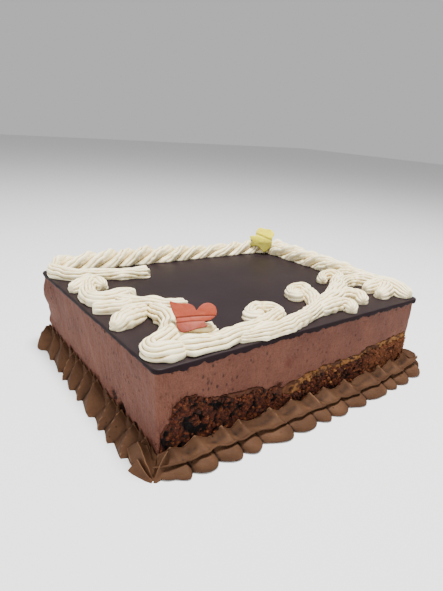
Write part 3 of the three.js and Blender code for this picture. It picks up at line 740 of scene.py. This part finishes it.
# %% Sections for the border
BORDER_LEAN = 0.45
MIDDLE_OF_BORDER = 9.0
BORDER_SAMPLES = 72
BORDER_STEP = 0.8
CORNER_STEPS = 22
PLEAT_VALLEY = [(GAP, 0.66), (0.20, 0.60), (0.40, 0.44), (0.58, 0.26), (0.70, 0.10), (0.78, 0.0)]
PLEAT_RIDGE = [(GAP, 1.12), (0.28, 1.06), (0.56, 0.80), (0.80, 0.50), (0.97, 0.20), (1.04, 0.0)]


def puff(turns):
    part = np.mod(turns, 1) ** 1.35
    return np.sin(pi * part) ** 0.55


def crest(turns):
    return np.abs(2 * np.mod(turns, 1) - 1) ** 1.5


def pleat(turns, top, valley):
    part = np.mod(turns - valley, 1)
    top = top - valley + 1
    return np.where(part < top, part / top, (1 - part) / (1 - top)) ** 1.2


def ruffled(turns, reach, rise, s):
    cup, shelf = crest(turns(0)), crest(turns(0.2))
    wave = 0.8 * uneven(s, 37, 6) + 0.7 * puff(turns(0.45))
    ridge = 0.60 * reach + 1.0 * uneven(s, 29, 4) + 1.4 * puff(turns(0.5))
    top = 0.84 * rise + wave

    def swell(across, depth, out=0.0):
        return reach - out - depth * (1 - puff(turns(across)))

    return [
        (GAP, rise - 2.2 + 5.6 * cup),
        (0.08 * reach, rise - 2.2 + 5.4 * cup),
        (0.24 * reach, 0.58 * rise + 4.6 * shelf),
        (ridge - 3.0, top - 2.0 + 1.0 * shelf),
        (ridge - 1.0, top - 0.1),
        (ridge, top + 1.0),
        (ridge + 0.4, top - 0.2),
        (ridge - 2.6, top - 2.2),
        (swell(0.66, 7.5, 6.0), 0.62 * rise),
        (swell(0.72, 7.5, 2.8), 0.50 * rise),
        (swell(0.78, 7.0, 0.9), 0.34 * rise),
        (swell(0.84, 6.6), 0.16 * rise),
        (swell(0.88, 6.4, 0.9), 0),
        (GAP, 0),
    ]


def pleated(turns, reach, rise, s):
    controls = []
    for across, low, high in zip(np.linspace(0, 1, len(PLEAT_RIDGE)), PLEAT_VALLEY, PLEAT_RIDGE):
        tall = pleat(turns(0), 0.08 + 0.66 * across, 0.92 - 0.10 * across)
        out = mix(low[0], high[0], tall) * (reach if across else 1.0)
        controls.append((out, rise * mix(low[1], high[1], tall)))
    return [*controls, (GAP, 0)]


def inner_row(turns, reach, rise, s):
    return pleated(lambda across: turns(across) + 0.5, 0.36 * reach, 1.04 * rise, s)


def smooth_section(controls):
    long = max(np.size(z) for _, z in controls)
    corners = np.stack([[np.broadcast_to(value, long) for value in control] for control in controls])
    t = np.linspace(0, len(controls) - 1, BORDER_SAMPLES)
    k = np.minimum(t.astype(int), len(controls) - 2)
    line = mix(corners[k], corners[k + 1], (t - k)[:, None, None])
    for _ in range(2):
        line[1:-1] = (line[:-2] + 2 * line[1:-1] + line[2:]) / 4
    return line[:, 0], line[:, 1]


def border(side, pitch, section, reach, rise, seed):
    start, end = SIDE_STARTS[side], SIDE_STARTS[side + 1]
    half_arc = CORNER_ARC / 2
    straight = np.linspace(start + half_arc, end - half_arc, round((end - start) / BORDER_STEP))
    corner_steps = np.linspace(0, half_arc, CORNER_STEPS, endpoint=False)
    s = np.concatenate([start + corner_steps, straight, end - corner_steps[:0:-1], [end - 1e-6]])
    place = Walk(s)
    stretch = 1 + MIDDLE_OF_BORDER / CORNER_RADIUS
    corner_run = np.minimum(s - start, half_arc) - np.minimum(end - s, half_arc)
    run = s + (stretch - 1) * corner_run
    sway = 0.25 * uneven(run, 90, side + 1) + 0.06 * wander(run, 12.0, seed)

    def turns(across):
        return run / pitch + sway - BORDER_LEAN * across

    here = place.x if side in (FRONT, BACK) else place.y
    out, z = smooth_section(section(turns, through(reach, here), through(rise, here), run))
    grid = np.stack([place.points(*sample) for sample in zip(out, z)], 1)
    ripple = 0.32 * noise(grid, 4.5, seed) + 0.14 * noise(grid, 1.7, seed + 1)
    free = np.clip((out.T - GAP) / 2, 0, 1) * np.clip(z.T / 1.5, 0, 1)
    away = np.stack([*place.normal, 0.4 + 0 * place.x], -1)[:, None, :]
    grid = grid + away * (ripple * free)[..., None]
    along_way = np.stack([-place.normal[1], place.normal[0], 0 * place.x], -1)
    grid[0] += GAP * along_way[0]
    grid[-1] -= GAP * along_way[-1]
    return shell(grid, 0.5, groove=(5, 0.9))


print("a section of the border has", BORDER_SAMPLES, "points")

# %% [markdown]
# Chocolate cream has a soft sheen. Its sharp crests are painted paler, a painted highlight, and its
# folds much darker, a painted shade where the light doesn't reach. The hollow numbers drive both. A
# slow pattern makes some puffs a little paler, and tiny air holes, painted dark as the shade inside
# them, break the surface. At the near corner the nozzle was pulled away three times, and each time
# left a thin leaf with its tip at the corner. A leaf is a grid between three bent lines, its crest
# and its two edges.

# %% Chocolate cream
chocolate = Finish(
    "chocolate_cream", Roughness=0.75, Specular_IOR_Level=0.12,
    Subsurface_Weight=0.04, Subsurface_Radius=(0.004, 0.002, 0.001),
)
# Air holes, dented by the bump and painted dark as the shade inside them.
shaded_air_holes = chocolate.spots(7.0, 0.05, 0.09)
chocolate.lay(chocolate.patches(16, 0.3, 0.7, 3.0), (80, 54, 36), ground=(62, 40, 25))
# Painted highlight: the sharp crests paler.
chocolate.lay(0.7 * (1 - chocolate.hollows(0.0, 0.2)), (128, 94, 68))
# Painted shade: the folds much darker.
chocolate.lay(0.9 * chocolate.hollows(0.52, 0.95), (17, 9, 5))
chocolate.lay(0.6 * shaded_air_holes, (24, 13, 8))
lines = chocolate.bump(chocolate.grain(1.1, 3.0), 0.25)
chocolate.paint(Base_Color=chocolate.colour, Normal=chocolate.bump(0 - shaded_air_holes, 0.4, lines))

print("the chocolate cream has", len(chocolate.nodes), "nodes")

# %% Sides and corner leaves
BORDER_SIDES = {
    "left": (
        LEFT, 0.92 * BORDER_PITCH, pleated,
        [(-102, 9), (-88, 14), (-74, 16), (-50, 15.5), (20, 14), (60, 11.5), (84, 11), (100, 15)],
        [(-102, 9), (-86, 13.5), (-70, 13.5), (-30, 14), (0, 17), (100, 18)],
    ),
    "front": (
        FRONT, BORDER_PITCH, ruffled,
        [(-125, 15), (-112, 21.5), (-60, 23.5), (-40, 25.5), (0, 25), (35, 25.5), (95, 23), (125, 20)],
        [(-125, 8), (-108, 11), (0, 10), (60, 9), (105, 11), (125, 15)],
    ),
    "right": (
        RIGHT, BORDER_PITCH, ruffled,
        [(-102, 19), (-80, 15.5), (102, 15.5)],
        [(-102, 15), (-80, 11), (102, 11)],
    ),
    "back": (
        BACK, BORDER_PITCH, pleated,
        [(-118, 15), (-95, 12), (125, 12)],
        [(-125, 17), (125, 17)],
    ),
}
CORNER_LEAVES = [
    (
        [(-131.4, -88.6, 14.5), (-134.0, -103, 12), (-132.3, -110, 0.5)],
        [(-135, -81, 6), (-139, -95, 0.5), (-132.9, -110.4, 0.5)],
        [(-127, -92, 12), (-125.8, -101, 2), (-132.0, -110.7, 0.5)],
    ),
    (
        [(-135.5, -96, 8), (-136.5, -106, 8), (-133.8, -111.2, 0.5)],
        [(-141, -94.5, 0.8), (-139, -104, 0.3), (-134.2, -111.4, 0.3)],
        [(-132.5, -96, 3), (-132, -105, 2), (-133.2, -110.8, 0.5)],
    ),
    (
        [(-121, -107.5, 15.5), (-129, -110.5, 11), (-133.1, -111.6, 0.5)],
        [(-126, -104.2, 13), (-128.6, -106, 2), (-132.9, -111.4, 0.5)],
        [(-119.5, -106.5, 9), (-124, -112.5, 3), (-132.0, -113, 0.4)],
    ),
]
leaf_rows = np.linspace(0, 1, 30)[:, None]
leaf_columns = np.linspace(0, 1, 10)[None, :, None]


def bent_line(first, middle, last):
    first, middle, last = (np.array(point, float) for point in (first, middle, last))
    return (1 - leaf_rows) ** 2 * first + 2 * leaf_rows * (1 - leaf_rows) * middle + leaf_rows ** 2 * last


def leaf(crest_line, left_line, right_line, seed):
    top, left, right = (bent_line(*line)[:, None, :] for line in (crest_line, left_line, right_line))
    dip = np.sin(pi * leaf_columns) * np.sin(pi * leaf_rows[..., None]) ** 0.5
    sag = 1.3 * dip * np.array([0, 0, 1])
    halves = [mix(right, top, leaf_columns) - sag, mix(top, left, leaf_columns) - sag]
    over = np.concatenate([halves[0], halves[1][:, 1:]], 1)
    over = over + 0.25 * noise(over, 3.0, seed)[..., None]
    under = over[:, ::-1].copy()
    under[..., 2] = np.maximum(0.05, 0.4 * under[..., 2] - 1.0)
    return shell(np.concatenate([over, under], 1), 0.5, groove=(4, 1.0))


for seed, (name, (side, pitch, section, reach, rise)) in enumerate(BORDER_SIDES.items(), 50):
    made = [border(side, pitch, section, reach, rise, seed)]
    if side == LEFT:
        made.append(border(side, pitch, inner_row, reach, rise, seed + 4))
        made += [leaf(*lines, seed + k) for k, lines in enumerate(CORNER_LEAVES, 5)]
    piece("ruffle_" + name, made, chocolate, "border_" + name)

# %% [markdown]
# A line of piped cream is a half round with fine grooves along it, one for each tooth of the star
# nozzle. Curves with a bevel could make the half round, but not grooves that wander, swell and close
# up at the ends. So each line is a grid again: even steps along a smooth curve, and an arch of points
# across it at every step. It ends either rounded, where the nozzle was pressed down, or ragged,
# where it was pulled away.

# %% Lines of cream
ARCH_SAMPLES = 66
STROKE_STEP = 0.8
CURVE_SPANS = [((0, 1), (1, 2), (2, 3)), ((0, 2), (1, 3)), ((1, 2),)]
arch_turn = np.linspace(0, pi, ARCH_SAMPLES)
arch_part = arch_turn / pi
arch_side = -np.cos(arch_turn) * (0.90 + 0.10 * np.sin(arch_turn) ** 0.5)
arch_rise = np.sin(arch_turn) ** 0.85


def along(path, step):
    knots = np.array(path, float)
    knots = np.vstack([2 * knots[0] - knots[1], knots, 2 * knots[-1] - knots[-2]])
    line = []
    for near in zip(knots, knots[1:], knots[2:], knots[3:]):
        gaps = [sqrt(np.linalg.norm(b - a)) for a, b in zip(near, near[1:])]
        at = np.concatenate([[0], np.cumsum(gaps)])
        t = np.linspace(at[1], at[2], 24, endpoint=False)[:, None]
        for spans in CURVE_SPANS:
            near = [mix(a, b, (t - at[i]) / (at[j] - at[i])) for a, b, (i, j) in zip(near, near[1:], spans)]
        line.append(near[0])
    line = np.vstack([*line, knots[-2:-1]])
    run = np.concatenate([[0], np.cumsum(np.linalg.norm(np.diff(line, axis=0), axis=1))])
    s = np.linspace(0, run[-1], max(12, round(run[-1] / step)))
    xy = np.stack([np.interp(s, run, line[:, axis]) for axis in (0, 1)], -1)
    way = np.gradient(xy, s, axis=0)
    way /= np.linalg.norm(way, axis=1, keepdims=True)
    return s, xy, np.stack([-way[:, 1], way[:, 0]], -1)


def arched(xy, normal, half, height, factor, groove):
    sideways = arch_side * half[:, None] * factor
    up_mm = arch_rise * height[:, None] * factor
    flat = xy[:, None, :] + normal[:, None, :] * sideways[..., None]
    return shell(np.concatenate([flat, (CREAM_FOOT + up_mm)[..., None]], -1), 0.3, groove=groove)


def stroke(path, widths, heights, seed, ribs, ragged=False):
    s, xy, normal = along(path, STROKE_STEP)
    length, step = s[-1], s[:, None]
    half = spread_over(widths, s / length) / 2 * (1 + 0.10 * wander(s, 8, seed + 6))
    from_end = s if ragged else np.minimum(s, length - s)
    closing = np.minimum(1, (from_end + 0.12 * half) / half)
    round_end = np.sqrt(np.clip(1 - (1 - closing) ** 2, 0, 1))
    height = spread_over(heights, s / length) * mix(0.55, 1, round_end)
    height = height * np.sqrt(np.clip(round_end * 4, 0, 1))
    drift = (0.7 * wander(s, 22, seed) + 0.2 * wander(s, 7, seed + 1))[:, None]
    groove = np.abs(np.cos(pi * (ribs * arch_part + drift))) ** 0.7
    depth = 0.15 + 0.14 * wander(step, 7.0, seed + 4, 12 * arch_part)
    ripple = wander(step, 3.6, seed + 2, 30 * arch_part)
    swelling = 0.07 * wander(step, 9.0, seed + 7, 14 * arch_part)
    frill = wander(step, 4.4, seed + 3, 9 * np.abs(np.cos(arch_turn))) * np.cos(arch_turn) ** 6
    factor = 1 + depth * (groove - 0.60) + 0.05 * ripple + swelling + 0.15 * frill
    if ragged:
        torn = 3.8 + 3.2 * wander(0 * step, 4.5, seed, 30 * arch_part)
        factor = factor * np.sqrt(np.clip((length - step) / torn + 0.1, 0, 1))
    return arched(xy, normal, half * round_end, height, factor, (5, 0.34))


print("one arch of cream has", ARCH_SAMPLES, "points")

# %% [markdown]
# Whipped cream scatters light inside, so its shadows are warm and never dark. A little subsurface
# gives the glow, and the hollow numbers paint the crests whiter, a painted highlight, and the grooves
# a brownish yellow, a painted shade. A very fine bump keeps the surface from looking like plastic.

# %% Cream finish
cream = Finish(
    "whipped_cream", Roughness=0.45, Specular_IOR_Level=0.4,
    Subsurface_Weight=0.05, Subsurface_Radius=(0.006, 0.0045, 0.003),
)
cream.lay(cream.patches(30, 0.3, 0.7), (243, 222, 166), ground=(232, 207, 146))
# Painted highlight: the crests whiter.
cream.lay(0.8 * (1 - cream.hollows(0.0, 0.3)), (255, 244, 208))
# Painted shade: the grooves a brownish yellow.
cream.lay(0.95 * cream.hollows(0.30, 0.90), (116, 90, 46))
cream.paint(Base_Color=cream.colour, Normal=cream.bump(cream.grain(1.1), 0.08))

# %% [markdown]
# The rope along the back and the right side was piped in small forward loops. Each turn overlaps the
# last one, rises forward over the rope's back, and keeps the nozzle's grooves. It is the same arch,
# but its grooves and its deep valleys follow the turns instead of the line.

# %% Ropes
ROPE_STEP = 0.7
ROPE_SKEW = 2.1
ROPES = {
    "rope_back": (
        [
            (-124, 89.5), (-100, 94), (-60, 93), (-20, 90), (20, 87), (60, 84), (90, 82.5), (102, 79),
            (107, 71),
        ],
        ROPE_PITCH,
        [1, 1, 1.02, 1.05, 1.0, 0.84, 0.82, 0.95, 1.0],
    ),
    "rope_right": (
        [
            (105, 74), (107.5, 64), (108.5, 45), (110, 25), (112, 5), (113, -15), (115, -35), (117, -52),
            (118, -62),
        ],
        1.1 * ROPE_PITCH,
        [1.08, 1.04, 1, 1, 0.9, 0.62],
    ),
}


def rope(path, pitch, sizes, seed):
    s, xy, normal = along(path, ROPE_STEP)
    length = s[-1]
    size = spread_over(sizes, s / length) + 0.05 * uneven(s, 45, 8)
    scale = size * np.sqrt(np.clip((np.minimum(s, length - s) + 0.5) / 8, 0, 1))
    skew = ROPE_SKEW * arch_part + 0.10 * np.sin(2 * arch_turn)
    turn = (s / pitch + 0.15 * uneven(s, 70, 7) + 0.10 * wander(s, 30, seed))[:, None] - skew
    lobe = puff(turn)
    ripple = wander(s[:, None], 4.0, seed + 2, 30 * arch_part)
    fine = np.abs(np.cos(3 * pi * turn + 0.5 * ripple)) ** 0.7
    factor = 0.60 + 0.44 * lobe + 0.12 * (fine - 0.6) * lobe + 0.07 * ripple
    return arched(xy, normal, scale * ROPE_WIDTH / 2, scale * ROPE_HEIGHT, factor, (6, 0.55))


for seed, (name, (path, pitch, sizes)) in enumerate(ROPES.items(), 60):
    piece("piped_" + name, [rope(path, pitch, sizes, seed)], cream, "cream_" + name)

# %% [markdown]
# The scrolls are piped line by line, small curls and leaves first, and the long sweeps over their
# ends. The path of each line, its widths, its heights and its number of ribs are what one would
# note beside the cake before piping it again.

# %% Scrolls
TORN_OFF = True
SCROLLS = {
    "sweep_left": [
        ([(-122, 89), (-118, 77), (-110, 68), (-100, 64), (-88, 60), (-78, 56), (-67, 53), (-51, 50)],
         [15, 13, 12, 11, 11, 13], [10, 9, 8, 8, 9], 7, TORN_OFF),
    ],
    "scroll_left": [
        ([(-104, 49), (-113, 43), (-123, 37)], [10, 13, 12], [9, 9, 7], 6),
        ([(-105, 48), (-101, 42), (-100, 32)], [11, 14, 13], [9, 9, 8], 6),
        ([(-104, 47), (-112, 32), (-117, 16), (-115, 5), (-106, 4), (-97, 7), (-90, 9), (-85, 6)],
         [12, 12, 13, 14, 14, 10], [9, 9, 9, 9, 9, 7], 7, TORN_OFF),
    ],
    "hook_left": [
        ([(-124, -8), (-115, -11), (-106, -14), (-97, -11)], [10, 11, 10], [7, 8, 8], 6),
        ([(-104, -1), (-97, -9), (-90, -16), (-82, -22), (-73, -28), (-62, -30)],
         [11, 14, 15, 13, 11], [8, 8, 9, 8, 7], 7, TORN_OFF),
        ([(-93, -25), (-104, -31), (-113, -37), (-124, -43)], [13, 16, 16, 14], [9, 10, 10, 8], 7),
        ([(-89, -27), (-88, -44), (-92, -60), (-99, -73), (-109, -79), (-117, -82), (-119, -88),
          (-112, -92), (-102, -91)],
         [14, 14, 15, 17, 17, 16, 15, 14], [9, 9, 10, 10, 10, 9, 9, 8], 7),
    ],
    "scroll_front": [
        ([(-98, -79), (-88, -78), (-78, -78), (-68, -76)], [11, 12, 12, 10], [9, 9, 9, 8], 6, TORN_OFF),
        ([(-104, -89), (-93, -92), (-80, -93), (-62, -92), (-45, -89), (-28, -84), (-14, -79)],
         [16, 14, 13, 13, 11], [9, 9], 7, TORN_OFF),
        ([(-16, -82), (-13, -71), (-17, -64), (-25, -62), (-32, -66)], [11, 12, 13, 12], [8, 8, 8, 7], 6),
        ([(-31, -65), (-35, -70), (-31, -73), (-24, -71)], [11, 11, 9], [7, 7, 6], 5),
    ],
    "sweep_front": [
        ([(-64, -95), (-48, -97), (-30, -97), (-12, -94), (8, -88), (28, -80), (46, -73), (62, -66),
          (76, -58)],
         [9, 12, 13, 12, 13, 17, 19, 16], [6, 8, 9, 9, 9, 9, 9], 8),
        ([(18, -88), (32, -86), (43, -86), (47, -92), (42, -98)], [11, 12, 12, 10], [8, 9, 9, 7], 6),
        ([(44, -72), (57, -71), (68, -74), (71, -82), (66, -90)], [12, 13, 13, 11], [8, 9, 9, 7], 6),
    ],
    "curl_middle": [
        ([(15, -85), (26, -73), (36, -61), (42, -50)], [10, 11, 12, 12], [8, 8], 6),
        ([(42, -52), (42, -44), (35, -41), (27, -45), (22, -51)], [11, 10, 10, 9], [8, 8, 8, 7], 6),
        ([(22, -50), (23, -57), (30, -57)], [8, 8, 6], [7, 7, 6], 5),
        ([(27, -50), (33, -50), (36, -53)], [7, 8, 6], [6, 7, 6], 5),
    ],
    "curl_right": [
        ([(58, -62), (70, -56), (83, -47), (94, -37)], [13, 13, 13, 12], [8, 9, 9, 9], 7),
        ([(94, -40), (98, -32), (96, -26), (89, -26), (82, -29), (76, -36)],
         [12, 11, 10, 9], [8, 8, 8, 7], 6),
    ],
    "fan_right": [
        ([(76, -51), (90, -47), (103, -48), (113, -55), (118, -68), (119, -83), (117, -99)],
         [11, 15, 18, 19, 18, 15], [8, 9, 10, 10, 10, 8], 9),
        ([(114, -70), (103, -70), (92, -70)], [15, 15, 11], [11, 10, 8], 7),
        ([(114, -76), (102, -83), (91, -87)], [15, 16, 12], [11, 10, 8], 7),
    ],
}

seed = 70
for name, lines_of_cream in SCROLLS.items():
    shells = []
    for path, widths, heights, *end in lines_of_cream:
        shells.append(stroke(path, widths, heights, seed, *end))
        seed += 5
    piece("piped_" + name, shells, cream, "cream_" + name)

# %% [markdown]
# The butterflies are cut from a thin sugar sheet with a cutter, scooped a little while they were
# soft, and stood in the cream. The outline is a closed smooth curve. Rings of points shrink from it
# to the middle on both faces, so that the sheet can be bent and creased like any other grid.

# %% Sugar butterflies
VIEW_FACING = radians(-32)
SHEET_STEP = 0.35
SHEET_RINGS = 22
CORAL_OUTLINE = [
    (-14, 11), (-11.3, 10.4), (-8.2, 9.8), (-2.5, 9.4), (1, 7.6), (2.6, 5.2), (4, 7.3), (7, 9.8), (11, 10.4),
    (14.4, 8.2), (15, 3.8), (12, 0.3), (7.6, -1.9), (9.3, -4.2), (3.8, -6.4), (-1.3, -8.3), (-6.3, -9),
    (-9, -6), (-10.2, 0.4), (-12.4, 5),
]
YELLOW_OUTLINE = [
    (-11.5, 3.6), (-9.5, 4.6), (-6, 4.6), (-5, 10), (-1.2, 13.4), (3.4, 12.6), (10.5, 12.4), (14.2, 8.5),
    (12.6, 3), (12.2, -3.5), (9.6, -8.5), (4.6, -12.5), (0.5, -9), (-3.6, -6.4), (-9, -6.8), (-10.6, -4),
    (-8.6, -1), (-10.6, 1),
]


def sugar_sheet(outline, at, facing, lean, fold, creases, seed):
    edge = along([outline[-1], *outline, outline[0], outline[1]], SHEET_STEP)[1]
    from_start = np.linalg.norm(edge - outline[0], axis=1)
    third, half = len(edge) // 3, len(edge) // 2
    edge = edge[np.argmin(from_start[:third]):half + np.argmin(from_start[half:])]
    middle = np.array([0.5, 1.5])
    inward = np.linspace(0.04, 0.96, SHEET_RINGS)
    shrink = np.concatenate([inward, [0.985, 1.0, 1.0, 0.985], inward[::-1]])
    face = np.concatenate([np.ones(SHEET_RINGS), [0.96, 0.75, 0.25, 0.04], np.zeros(SHEET_RINGS)])
    flat = middle + shrink[:, None, None] * (edge - middle)
    x, y = flat[..., 0], flat[..., 1]
    depth = SUGAR_THICKNESS * face[:, None] + fold * np.maximum(0, -y) - 0.012 * x * x
    depth = depth + 0.45 * wander(x, 7, seed, y) + 0.12 * wander(x, 2.2, seed + 1, y)
    deep = 0 * x
    for crease_y, slope, width, drop in creases:
        away = (y - crease_y - slope * x) / width
        depth = depth - drop * np.exp(-away ** 2) * face[:, None]
        deep = deep + 0.8 * np.exp(-away ** 2)
    up_y = y * sin(lean) - depth * cos(lean)
    up_z = y * cos(lean) + depth * sin(lean)
    turned_x = x * cos(facing) - up_y * sin(facing) + at[0]
    turned_y = x * sin(facing) + up_y * cos(facing) + at[1]
    return shell(np.stack([turned_x, turned_y, up_z + at[2]], -1), deep)


def sugar_finish(name, pale, full, dark, low_mm, high_mm):
    sugar = Finish(
        name, Roughness=0.6, Specular_IOR_Level=0.3,
        Subsurface_Weight=0.15, Subsurface_Radius=(0.003, 0.0015, 0.001),
    )
    # Painted shade: the sheet darker below a height, where it lies in shade.
    shade = 1 - sugar.rise(sugar.axis(Z) + 0.003 * sugar.grain(8), low_mm * MM, high_mm * MM)
    sugar.lay(0.5 * sugar.patches(6, 0.35, 0.65), pale, ground=full)
    sugar.lay(0.8 * shade, dark)
    # Painted shade in the creases.
    sugar.lay(0.7 * sugar.hollows(0.2, 0.9), dark)
    sugar.paint(Base_Color=sugar.colour, Normal=sugar.bump(sugar.grain(1.0), 0.1))
    return sugar


coral = sugar_finish("coral_sugar", (154, 69, 41), (140, 53, 29), (86, 26, 12), 77, 84)
creases = [(1.2, 0.10, 0.5, 0.5), (-2.0, 0.12, 0.5, 0.5)]
sheet = sugar_sheet(CORAL_OUTLINE, (-87.5, -78, 82.2), VIEW_FACING, 0.6, 0.25, creases, 80)
piece("butterfly_front", [sheet], coral, "butterfly_coral")

yellow = sugar_finish("yellow_sugar", (242, 228, 18), (230, 214, 10), (44, 39, 3), 81, 88)
creases = [(5, -0.3, 1.2, 0.4)]
sheet = sugar_sheet(YELLOW_OUTLINE, (92.1, 73.8, 82.1), VIEW_FACING - 0.15, 0.45, 0.1, creases, 85)
piece("butterfly_back", [sheet], yellow, "butterfly_yellow")
